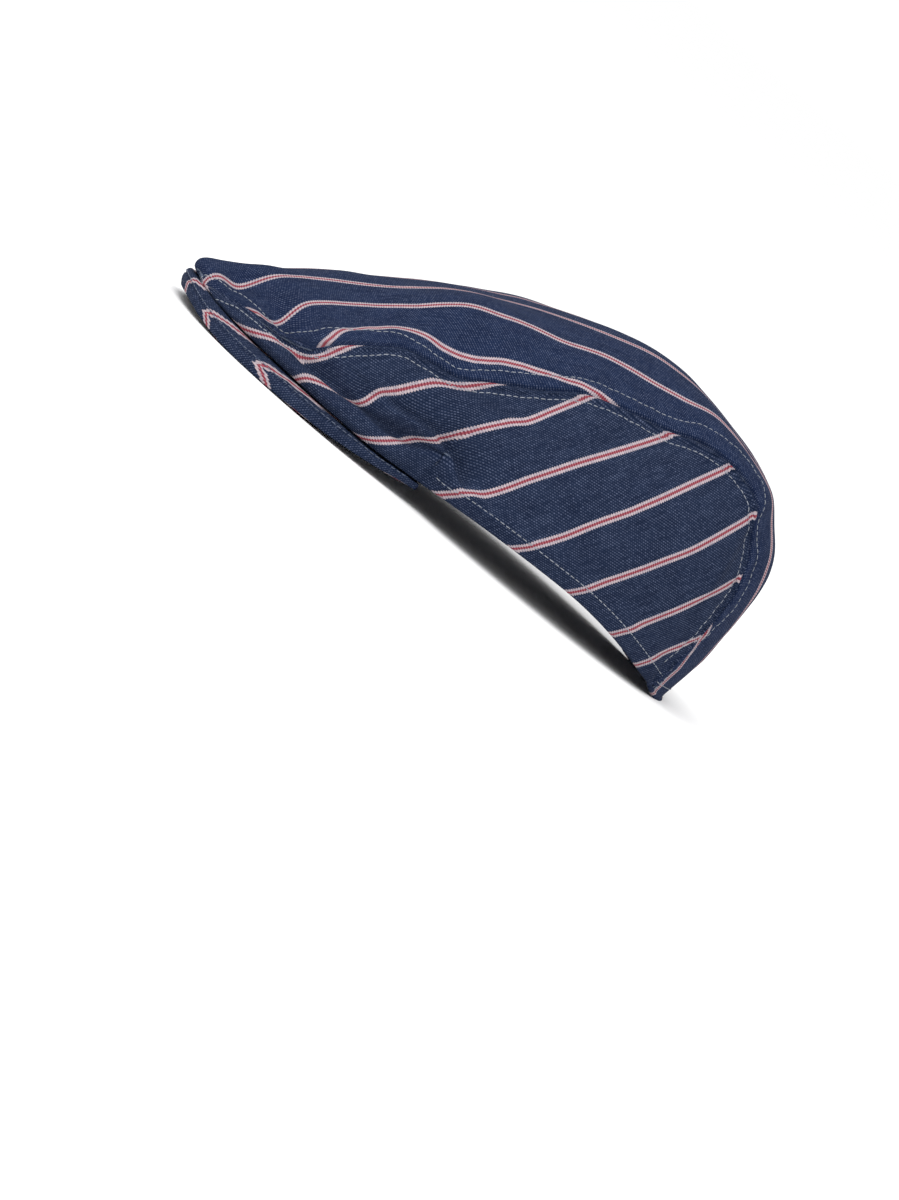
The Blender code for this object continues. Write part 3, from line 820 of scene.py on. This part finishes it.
def denim(name, cap, painted_sky_tint=1.0, wrong_side=False):
    """Twill denim: slanted ribs of pale specks, slubs along the cloth and a white, red and white stripe.

    A tint above 1 paints the cloth darker and bluer. This is painted light: it stands for the bluish light from above
    that falls on the top panel."""
    shader = Shader(name)
    uv = shader.node("ShaderNodeUVMap", {"uv_map": "cloth"})
    across, along = shader.parts(uv)
    count, spacing = shader.parts(shader.node("ShaderNodeUVMap", {"uv_map": "stripe"}))
    pitch = cap.rib_pitch / MM
    ribs = (across * SLANT_ACROSS - along * SLANT_ALONG) / pitch
    rib = ribs.floor()
    specks = (across * SLANT_ALONG + along * SLANT_ACROSS) / (SPECK_LENGTH * pitch) + rib * SPECK_SHIFT
    chance = shader.node("ShaderNodeTexWhiteNoise", {"noise_dimensions": "2D"},
                         Vector=shader.vector(rib, specks.floor(), 0.0))
    ridge = 1.0 - (ribs.fraction() - 0.5).size() * 2.0
    speck = ridge.rise(0.3, 0.85) * (1.0 - (specks.fraction() - 0.5).size() * 2.0).rise(0.1, 0.6)
    dye = shader.noise(uv, 0.09, 3.0, 0.6)
    slub = shader.noise(shader.vector(across * 0.8, along * 0.05, 0.0), 1.0, 2.0, 0.6)
    # Painted light: a tint above 1 makes the navy darker and bluer, standing for the bluish light from above on the
    # top panel.
    navy, dark = (colour((tone[0] / painted_sky_tint ** 1.6, tone[1] / painted_sky_tint ** 0.6, tone[2] * painted_sky_tint ** 0.4))
                  for tone in (cap.navy, cap.navy_dark))
    cloth = shader.mix(dye.rise(0.3, 0.7) * 0.6 + slub.rise(0.35, 0.65) * 0.4, dark, navy)
    cloth = shader.mix(speck * (0.25 + chance * 0.75) * (0.1 + slub * 1.2), cloth, colour(cap.navy_pale))
    away = ((count + 0.5).fraction() - 0.5).size() * spacing
    tooth = (along / cap.tooth_pitch * MM).fraction()
    jag = (tooth - 0.5).size() * 2.0 - 0.5
    half, core_half = cap.stripe_width / MM / 2, cap.stripe_core / MM / 2
    band = (away + jag * 0.55).fall(half - 0.16, half + 0.16)
    core = (away - jag * 0.45).fall(core_half - 0.2, core_half + 0.2)
    bead = (tooth - 0.5).size().rise(0.1, 0.42)
    red = shader.mix(bead, colour(cap.stripe_red), colour(cap.stripe_red_dark))
    white = shader.mix((chance - 0.2) * 0.35 + bead * 0.25, colour(cap.stripe_white), colour(cap.navy_pale))
    cloth = shader.mix(band, cloth, shader.mix(core, white, red))
    if wrong_side:
        cloth = shader.mix(0.45, cloth, colour(cap.wrong_side))
    weave = ridge * 0.6 + speck * 0.5
    bump = shader.node("ShaderNodeBump", {}, Strength=0.7, Distance=0.25 * MM, Height=weave)
    shader.connect(bump, shader.surface.inputs["Normal"])
    return shader.finish(cloth, 0.9, 0.05)


def thread_material(name, tone):
    """Twisted sewing thread."""
    shader = Shader(name)
    place = shader.node("ShaderNodeTexCoord", {}, output=3)
    uneven = shader.noise(place, 900.0, 2.0)
    twist = shader.mix(uneven.rise(0.35, 0.65), colour([part * 0.72 for part in tone]), colour(tone))
    return shader.finish(twist, 0.7, 0.25)


# Height of the cloth turned in behind the front edge, where it lies on the peak.
FRONT_TURN = 2 * MM
# How many rows of the top panel shape its turned in end, and the place of the end's second row in edge radii.
END_ROWS, SECOND_ROW = 9, 1.6


def top_panel(cap, seams):
    """The top panel, its ends turned in at the front edge and at the nape."""
    rows, counts, widths, runs, freedom = [], [], [], [], []
    places = cloth_rows(cap.cloth_step)
    spine = Track([top_section(place)(0.0) for place in places])
    for place, run in zip(places, spine.runs):
        path = Path(top_section(place), -1.0)
        distances = spread(path.length, SEAM_STEPS, SEAM_STEPS, TOP_MIDDLE_STEPS)
        rows.append([path.at(distance) for distance in distances])
        widths.append([(distance - path.length / 2) / MM for distance in distances])
        counts.append([top_stripe(point.x, place) for point in rows[-1]])
        runs.append([run / MM] * len(rows[-1]))
        free = smoothstep(2, 6, place) * (1 - smoothstep(LAST - 0.55, LAST - 0.15, place))
        freedom.append([free] * len(rows[-1]))
    radius = cap.edge_radius
    for end, inside in ((0, FRONT_TURN), (-1, cap.hem_turn)):
        step = 1 if end == 0 else -1
        edge = rows[end]
        outers, outs = [], []
        for across, point in enumerate(edge):
            outers.append(along_points([row[across] for row in rows[::step][:END_ROWS]]))
            over = edge[min(across + 1, len(edge) - 1)] - edge[max(across - 1, 0)]
            outs.append((over.cross(outers[-1](2 * MM) - point) * step).normalized())
        rows[end] = [outer(radius) for outer in outers]
        rows[end + step] = [outer(radius * SECOND_ROW) for outer in outers]
        for distance in turn_in_runs(radius, inside):
            spot = 0 if end == 0 else len(rows)
            rows.insert(spot, [turned_in(outer, out, radius, distance) for outer, out in zip(outers, outs)])
            counts.insert(spot, list(counts[end]))
            widths.insert(spot, list(widths[end]))
            runs.insert(spot, [runs[end][0] - step * distance / MM] * len(edge))
            freedom.insert(spot, [0.0] * len(edge))
    mesh, spots = cloth_mesh(rows, counts, widths, runs)
    lift_cloth(mesh, spots, freedom, seams, cap, "top", TOP_PUCKERS)
    return mesh


# How the side panel's cloth runs: its shares of the climb from the rim and of the cap's length.
RUN_UP, RUN_BACK = 0.82, 0.57


def side_rows(cap):
    """Rows of points across the left side panel, from inside its hem round the rim and up to the seam.

    Its cloth wall thins out with the radius of its edge, where the panel runs out to a point."""
    rows, counts, runs, freedom, walls = [], [], [], [], []
    for place in cloth_rows(cap.cloth_step):
        path = Path(side_section(place))
        share = column("edge", min(place, LAST))
        radius = max(1e-6, min(cap.edge_radius, 0.15 * path.length))
        inside = min(FRONT_TURN + (cap.hem_turn - FRONT_TURN) * smoothstep(0.95, 1.08, share), 0.6 * path.length)
        start = path.at(radius)
        up = path.at(radius + min(MM, 0.2 * path.length)) - start
        up = up.normalized() if up.length else Vector((0, 0, 1))
        out = edge_outward(share)
        out = (out - up * out.dot(up)).normalized()
        below = list(reversed(turn_in_runs(radius, inside)))
        distances = [radius + (path.length - radius) * d / path.length if path.length else 0.0
                     for d in spread(path.length, RIM_STEPS, SEAM_STEPS, SIDE_MIDDLE_STEPS)]
        rows.append([turned_in(path.at, out, radius, d) for d in below] + [path.at(d) for d in distances])
        heights = [0.0] * len(below) + distances
        counts.append([side_stripe(point.y, height) for point, height in zip(rows[-1], heights)])
        climbs = [-distance for distance in below] + distances
        runs.append([(climb * RUN_UP + point.y * RUN_BACK) / MM for climb, point in zip(climbs, rows[-1])])
        freedom.append([smoothstep(3 * MM, 11 * MM, height) for height in heights])
        walls.append(max(0.1, radius / cap.edge_radius))
    return rows, counts, runs, freedom, walls


def side_panel(cap, seams, rows, counts, runs, freedom, walls, side):
    """A side panel of the left side's shape; the side, 1 or -1, sets its puckers and its cloth's direction."""
    widths = [[STRIPE_REPEAT * count * side for count in row] for row in counts]
    mesh, spots = cloth_mesh(rows, counts, widths, runs)
    layer = mesh.verts.layers.deform.active
    for vert, (row, _) in spots.items():
        fold = min((vert.co.yz / MM - bend).length for bend in OVERHANG)
        vert[layer][0] = walls[row] * (OVERHANG_WALL + (1 - OVERHANG_WALL) * smoothstep(8, 18, fold))
    lift_cloth(mesh, spots, freedom, seams, cap, "side", SIDE_PUCKERS[side])
    return mesh


def peak_section(turn):
    """Closed section of the peak, from the lower edge over the top to the head opening and back below."""
    share = abs(turn)
    outline, _ = peak_outline(share)
    low, wall, seat = peak_heights(share)
    inset = roll_inset(share)
    clear = CLOTH + SEAT_GAP
    start = corner_angle(4 * clear)
    inner = head_oval(share * start, 4 * clear)
    width = (outline - inner).length
    ledge = min(inset + 2 * clear, 0.6 * width)
    front_lift = PEAK_FRONT_LIFT * (1 - share ** 2)
    end = seat + front_lift
    board = PEAK_BOARD * (1 - 0.45 * share ** 4)
    inward = (inner - outline).normalized()
    full = PEAK_FULLNESS.at(turn)

    def at(across, height):
        return outline + inward * across + Vector((0, 0, height))

    floor = max(seat - board, low)
    middle = (ledge + width) / 2
    return [
        at(0.0004, low + 0.0002),
        at(-0.6 * full, low + 0.7 * (wall - low)),
        at(0.12 * inset + 0.0004 - full, wall + 0.5 * full),
        at(0.55 * inset + 0.0006 - full, wall + 0.62 * (seat - wall) + 0.7 * full),
        at(inset, seat),
        at(ledge, seat),
        at(middle, seat + 0.62 * front_lift),
        at(width, end),
        at(width, end - board),
        at(middle, seat + 0.62 * front_lift - board),
        at(ledge, floor),
        at(0.55 * inset + 0.0018, low + 0.5 * (floor - low)),
        at(0.0016, low),
    ]


def peak_knots(turn):
    """The peak's closed section on the left or the right side."""
    knots = peak_section(turn)
    for point in knots:
        point.x = math.copysign(point.x, turn) if turn else 0.0
    return knots + knots[:1]


# The peak's own cloth: its width in mm for each half of the way round, the stripe spacing below in metres, and
# where they begin. The place of its stitch row is counted as in PEAK_KEYS.
PEAK_CLOTH_WIDTH = 160
UNDERSIDE_STRIPE = 0.027
UNDERSIDE_START = 0.35
UNDERSIDE_KEY = 7.5
PEAK_ROW_KEY = 2.35
# Shares of the peak's section, counted in its points, where its mesh has corners; 2 is the ridge, 4 the groove.
PEAK_KEYS = (0, 0.25, 0.5, 0.75, 1, 1.25, 1.45, 1.65, 1.8, 1.9, 2, 2.1, 2.2, 2.35, 2.55, 2.8, 3.1, 3.4, 3.7, 4, 4.4,
             4.8, 5.2, 5.6, 6, 6.4, 6.8, 7, 7.3, 7.7, *(8 + k / 4 for k in range(21)))


def peak_cover(cap):
    """The peak with its cover, as sections joined from corner to corner."""
    rows, counts, widths, runs = [], [], [], []
    steps = 2 * round(PEAK_HALF_WIDTH * 2.4 / cap.cloth_step)
    for k in range(steps + 1):
        turn = 2 * k / steps - 1
        knots = peak_knots(turn)
        rows.append([curve_through(knots, key) for key in PEAK_KEYS])
        counts.append([peak_stripe(turn, key / 2) if key < UNDERSIDE_KEY
                       else point.x / UNDERSIDE_STRIPE + UNDERSIDE_START
                       for key, point in zip(PEAK_KEYS, rows[-1])])
        runs.append([run / MM for run in Track(rows[-1]).runs])
        widths.append([turn * PEAK_CLOTH_WIDTH if key < UNDERSIDE_KEY else point.x / MM
                       for key, point in zip(PEAK_KEYS, rows[-1])])
    mesh, spots = cloth_mesh(rows, counts, widths, runs)
    bmesh.ops.remove_doubles(mesh, verts=mesh.verts, dist=0.01 * MM)
    bmesh.ops.holes_fill(mesh, edges=[edge for edge in mesh.edges if edge.is_boundary], sides=0)
    bmesh.ops.recalc_face_normals(mesh, faces=mesh.faces)
    moves = {}
    for vert in mesh.verts:
        row, across = spots[vert]
        key, turn = PEAK_KEYS[across], 2 * row / steps - 1
        ends = 1 - smoothstep(0.94, 1.0, abs(turn))
        lift = -cap.seam_depth * 0.5 * bell(key - 2.0, 0.12) + 0.3 * MM * bell(key - 2.5, 0.35)
        lift += 0.9 * cap.pucker_depth * pucker(turn * PEAK_HALF_RUN, PEAK_PUCKERS) * bell(key - 2.7, 0.7)
        lift += 0.5 * soft_folds(vert.co) * smoothstep(0.5, 1.5, key) * (1 - smoothstep(3.4, 4.0, key))
        moves[vert] = vert.normal * lift * ends
    for vert, move in moves.items():
        vert.co += move
    return mesh


# Points of one stitch: share of its length, height over the cloth in thread widths, and thickness.
STITCH_POINTS = ((0.0, -0.5, 0.6), (0.12, 0.12, 0.9), (0.5, 0.3, 1.0), (0.88, 0.12, 0.9), (1.0, -0.5, 0.6))


def sew(curve, path, surface, cap):
    """Adds a row of stitches to a curve, each one rising from the cloth and dipping back into it."""
    track = Track(path)
    for n in range(int(track.length / cap.stitch_pitch)):
        stitch = curve.splines.new("POLY")
        stitch.points.add(len(STITCH_POINTS) - 1)
        for point, (share, lift, width) in zip(stitch.points, STITCH_POINTS):
            place = track.at(n * cap.stitch_pitch + share * cap.stitch_length)
            middle, normal, _, _ = surface.find_nearest(place)
            point.co = (*(middle + normal * lift * cap.thread_width), 1.0)
            point.radius = width


def row_beside_seam(panel, seams):
    """Points of a stitch row beside the left seam, on the top or the side panel, from the front to the nape."""
    points = []
    for k in range(LAST * 12 + 1):
        section = top_section(k / 12) if panel == "top" else side_section(k / 12)
        path = Path(section, samples=40)
        run, near, row = 0.0, 0.0, 1.0
        while near < row and run < path.length:
            run += 0.3 * MM
            point = path.at(path.length - run)
            near, _, place, _ = seams.near(point)
            row = row_distance(place, panel)
        if near >= row:
            points.append(point)
    return points


# Place of the hem's stitches at the nape, counted in the crown's sections.
NAPE_ROW = LAST - 0.32


def hem_row(cap):
    """Points over the rim, from the peak's left corner round the nape to its right corner."""
    left = []
    for k in range(LAST * 10):
        place = k / 10
        if column("edge", place) > 1.01:
            path = Path(side_section(place), samples=40)
            if path.length > cap.hem_row:
                left.append(path.at(cap.hem_row))
    section = top_section(NAPE_ROW)
    nape = [section(1 - k / 20) for k in range(41)]
    right = [mirrored(point) for point in reversed(left)]
    return left + nape + right


def stitch_object(name, cap, tone, *rows):
    """One object with the stitches of some rows, each a path of points with the faces it is sewn to."""
    curve = bpy.data.curves.new(name, "CURVE")
    curve.dimensions = "3D"
    curve.bevel_depth = cap.thread_width / 2
    curve.bevel_resolution = 1
    curve.use_fill_caps = True
    for path, surface in rows:
        sew(curve, path, surface, cap)
    draft = placed(name + "_draft", curve)
    graph = bpy.context.evaluated_depsgraph_get()
    data = bpy.data.meshes.new_from_object(draft.evaluated_get(graph))
    bpy.data.objects.remove(draft)
    bpy.data.curves.remove(curve)
    data.name = name
    data.materials.clear()
    data.shade_smooth()
    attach(placed(name, data, thread_material(name + "_cotton", tone)), "root")


def surface_of(*names):
    """The outer faces of some pieces, to lay stitches on."""
    points, faces = [], []
    for name in names:
        data = bpy.data.objects[name].data
        start = len(points)
        points.extend(vert.co.copy() for vert in data.vertices)
        faces.extend([start + k for k in face.vertices] for face in data.polygons)
    return BVHTree.FromPolygons(points, faces)


def on_cap(points, side=1):
    """Points of the left side, or mirrored ones, where the finished cap stands."""
    return [Vector((side * point.x, point.y - LENGTH / 2, point.z)) for point in points]


def length(name, description, millimetres, **bounds):
    return FloatProperty(name=name, description=description, default=millimetres * MM, unit="LENGTH", **bounds)


def tint(name, description, tone):
    return FloatVectorProperty(name=name, description=description, default=tone, subtype="COLOR")


class CapSettings(bpy.types.PropertyGroup):
    """Sizes and colours of the cap's cloth."""
    cloth_step: length("Cloth Step", "Size of the cloth's faces", 1.5, min=0.8 * MM)
    cloth_thickness: length("Cloth Thickness", "Thickness of the cloth wall", 1.2)
    seam_depth: length("Seam Depth", "Depth of the groove of a seam", 1.1)
    seam_puff: length("Seam Puff", "Height of the thick band beside a seam", 0.5)
    pucker_depth: length("Pucker Depth", "Depth of the gathers along a seam", 0.3)
    stitch_length: length("Stitch Length", "Length of one visible stitch", 2.2)
    stitch_pitch: length("Stitch Pitch", "Distance from one stitch to the next", 3.0)
    thread_width: length("Thread Width", "Thickness of the sewing thread", 0.42)
    hem_row: length("Hem Row", "Height of the hem's stitch row above the rim", 8.0)
    hem_turn: length("Hem Turn", "Height of the hem turned in behind the rim", 8.5)
    edge_radius: length("Edge Radius", "Radius of the cloth turned round an edge", 1.25)
    rib_pitch: length("Rib Pitch", "Distance between the ribs of the twill", 1.0)
    stripe_width: length("Stripe Width", "Width of a whole stripe", 3.5)
    stripe_core: length("Stripe Core", "Width of the red middle of a stripe", 1.2)
    tooth_pitch: length("Tooth Pitch", "Pitch of the stripe's toothed edge", 1.1)
    navy: tint("Navy", "Colour of the denim", (0.0100, 0.0175, 0.0420))
    navy_dark: tint("Dark Navy", "Colour where the dye is deepest", (0.0050, 0.0100, 0.0280))
    navy_pale: tint("Pale Flecks", "Colour of the pale threads in the twill", (0.100, 0.120, 0.190))
    wrong_side: tint("Wrong Side", "Colour of the denim's inner face", (0.16, 0.19, 0.25))
    stripe_white: tint("Stripe White", "Pale threads of the stripe", (0.42, 0.345, 0.36))
    stripe_red: tint("Stripe Red", "Red threads of the stripe", (0.285, 0.062, 0.080))
    stripe_red_dark: tint("Dark Red", "Shaded ends of the red threads", (0.15, 0.030, 0.044))
    thread: tint("Thread", "Colour of the sewing thread", (0.27, 0.29, 0.33))
    peak_thread: tint("Peak Thread", "Colour of the thread along the peak's edge", (0.10, 0.12, 0.17))
    light: FloatProperty(name="Light", description="Strength of the studio light", default=1.0, min=0.0)


class CAP_OT_top_panel(bpy.types.Operator):
    """Lays the long top panel over the crown"""
    bl_idname = "cap.top_panel"
    bl_label = "Top Panel"

    def execute(self, context):
        cap = context.scene.cap
        # The top panel's denim is painted darker and bluer, as painted light from the bluish sky above it.
        materials = [denim("top_denim", cap, painted_sky_tint=1.25), denim("top_denim_inside", cap, wrong_side=True)]
        made = finished_object(top_panel(cap, SeamMap()), "crown_top", materials, "top_panel", cap.cloth_thickness)
        return {"FINISHED"}


class CAP_OT_side_panels(bpy.types.Operator):
    """Lays a side panel on each side, with its roll over the peak"""
    bl_idname = "cap.side_panels"
    bl_label = "Side Panels"

    def execute(self, context):
        cap = context.scene.cap
        seams, panel = SeamMap(), side_rows(cap)
        materials = [denim("side_denim", cap), denim("side_denim_inside", cap, wrong_side=True)]
        for name, node, side in (("crown_side_left", "side_panel_left", 1),
                                 ("crown_side_right", "side_panel_right", -1)):
            mesh = side_panel(cap, seams, *panel, side)
            bmesh.ops.reverse_faces(mesh, faces=mesh.faces)
            if side < 0:
                bmesh.ops.scale(mesh, vec=(-1, 1, 1), verts=mesh.verts)
                bmesh.ops.reverse_faces(mesh, faces=mesh.faces)
            made = finished_object(mesh, name, materials, node, cap.cloth_thickness)
            made.modifiers["Cloth"].vertex_group = made.vertex_groups.new(name="wall").name
        return {"FINISHED"}


class CAP_OT_peak(bpy.types.Operator):
    """Covers the peak"""
    bl_idname = "cap.peak"
    bl_label = "Peak"

    def execute(self, context):
        cap = context.scene.cap
        made = finished_object(peak_cover(cap), "peak_cover", [denim("peak_twill", cap)], "peak")
        return {"FINISHED"}


class CAP_OT_stitches(bpy.types.Operator):
    """Sews the rows of stitches along the seams, the hem and the peak"""
    bl_idname = "cap.stitches"
    bl_label = "Stitches"

    def execute(self, context):
        cap = context.scene.cap
        seams = SeamMap()
        top, left, right = (surface_of(name) for name in ("crown_top", "crown_side_left", "crown_side_right"))
        over = row_beside_seam("top", seams)
        under = row_beside_seam("side", seams)
        stitch_object("seam_stitches", cap, cap.thread, (on_cap(over), top), (on_cap(over, -1), top),
                      (on_cap(under), left), (on_cap(under, -1), right))
        around = surface_of("crown_top", "crown_side_left", "crown_side_right")
        stitch_object("hem_stitches", cap, cap.thread, (on_cap(hem_row(cap)), around))
        edge = [curve_through(peak_knots(k / 100), PEAK_ROW_KEY) for k in range(-96, 97)]
        stitch_object("peak_stitches", cap, cap.peak_thread, (on_cap(edge), surface_of("peak_cover")))
        return {"FINISHED"}


# The studio: lamps by place, size and power, and the camera by its turn and height round the cap, its roll, its
# distance, the point of the cap that it looks at, and its focal length in widths of a picture 1200 high.
LAMPS = {"key_light": ((1.6, -1.4, 2.2), 2.4, 66.0), "fill_light": ((2.2, 1.6, 1.2), 2.0, 8.0)}
SKY = 1.03
FLOOR_TONE, FLOOR_SIZE, FLOOR_DROP = 0.97, 30.0, 0.2 * MM
CAMERA_TURN, CAMERA_LIFT, CAMERA_ROLL = (math.radians(angle) for angle in (14.5, 5.5, 40.83))
CAMERA_DISTANCE = 3.0
CAMERA_TARGET = Vector((0.0396, 0.1722 - LENGTH / 2, -0.0232))
CAMERA_SENSOR = 36.0
CAMERA_LENS = CAMERA_SENSOR * 6920 / 1200


class CAP_OT_stage(bpy.types.Operator):
    """Sets up the floor, the light and the camera"""
    bl_idname = "cap.stage"
    bl_label = "Stage"

    def execute(self, context):
        scene = context.scene
        mesh = bmesh.new()
        bmesh.ops.create_grid(mesh, x_segments=1, y_segments=1, size=FLOOR_SIZE)
        data = bpy.data.meshes.new("floor")
        mesh.to_mesh(data)
        mesh.free()
        floor = placed("floor", data, Shader("pale_floor").finish(colour([FLOOR_TONE] * 3), 0.9, 0.0))
        floor.location.z = -FLOOR_DROP
        world = bpy.data.worlds.new("studio")
        world.use_nodes = True
        sky = world.node_tree.nodes["Background"].inputs
        sky["Color"].default_value = (1, 1, 1, 1)
        sky["Strength"].default_value = SKY * scene.cap.light
        scene.world = world
        scene.view_settings.view_transform = "Standard"
        for name, (place, size, power) in LAMPS.items():
            lamp = bpy.data.lights.new(name, "AREA")
            lamp.energy = power * scene.cap.light
            lamp.size = size
            holder = placed(name, lamp)
            holder.location = place
            holder.rotation_euler = (-Vector(place)).to_track_quat("-Z", "Y").to_euler()
        turn, lift, roll = CAMERA_TURN, CAMERA_LIFT, CAMERA_ROLL
        back = Vector((math.cos(turn) * math.cos(lift), -math.sin(turn) * math.cos(lift), math.sin(lift)))
        level = Vector((math.sin(turn), math.cos(turn), 0))
        upright = back.cross(level)
        right = level * math.cos(roll) + upright * math.sin(roll)
        up = upright * math.cos(roll) - level * math.sin(roll)
        view = bpy.data.cameras.new("camera")
        view.lens = CAMERA_LENS
        view.sensor_width = CAMERA_SENSOR
        view.sensor_fit = "AUTO"
        view.clip_end = 200.0
        eye = placed("camera", view)
        matrix = Matrix((right, up, back)).transposed().to_4x4()
        matrix.translation = CAMERA_TARGET + back * CAMERA_DISTANCE
        eye.matrix_world = matrix
        scene.camera = eye
        return {"FINISHED"}


class CAP_PT_panel(bpy.types.Panel):
    """The cap's pieces and sizes"""
    bl_idname = "CAP_PT_panel"
    bl_label = "Flat Cap"
    bl_space_type = "VIEW_3D"
    bl_region_type = "UI"
    bl_category = "Cap"

    def draw(self, context):
        for name in CapSettings.__annotations__:
            self.layout.prop(context.scene.cap, name)
        for kind in PIECES:
            self.layout.operator(kind.bl_idname)


PIECES = (CAP_OT_top_panel, CAP_OT_side_panels, CAP_OT_peak, CAP_OT_stitches, CAP_OT_stage)
CLASSES = (CapSettings, *PIECES, CAP_PT_panel)


def register():
    for kind in CLASSES:
        bpy.utils.register_class(kind)
    bpy.types.Scene.cap = PointerProperty(type=CapSettings)


def unregister():
    del bpy.types.Scene.cap
    for kind in reversed(CLASSES):
        bpy.utils.unregister_class(kind)


def main():
    register()
    bpy.ops.cap.top_panel()
    bpy.ops.cap.side_panels()
    bpy.ops.cap.peak()
    bpy.ops.cap.stitches()
    bpy.ops.cap.stage()


if __name__ == "__main__":
    main()
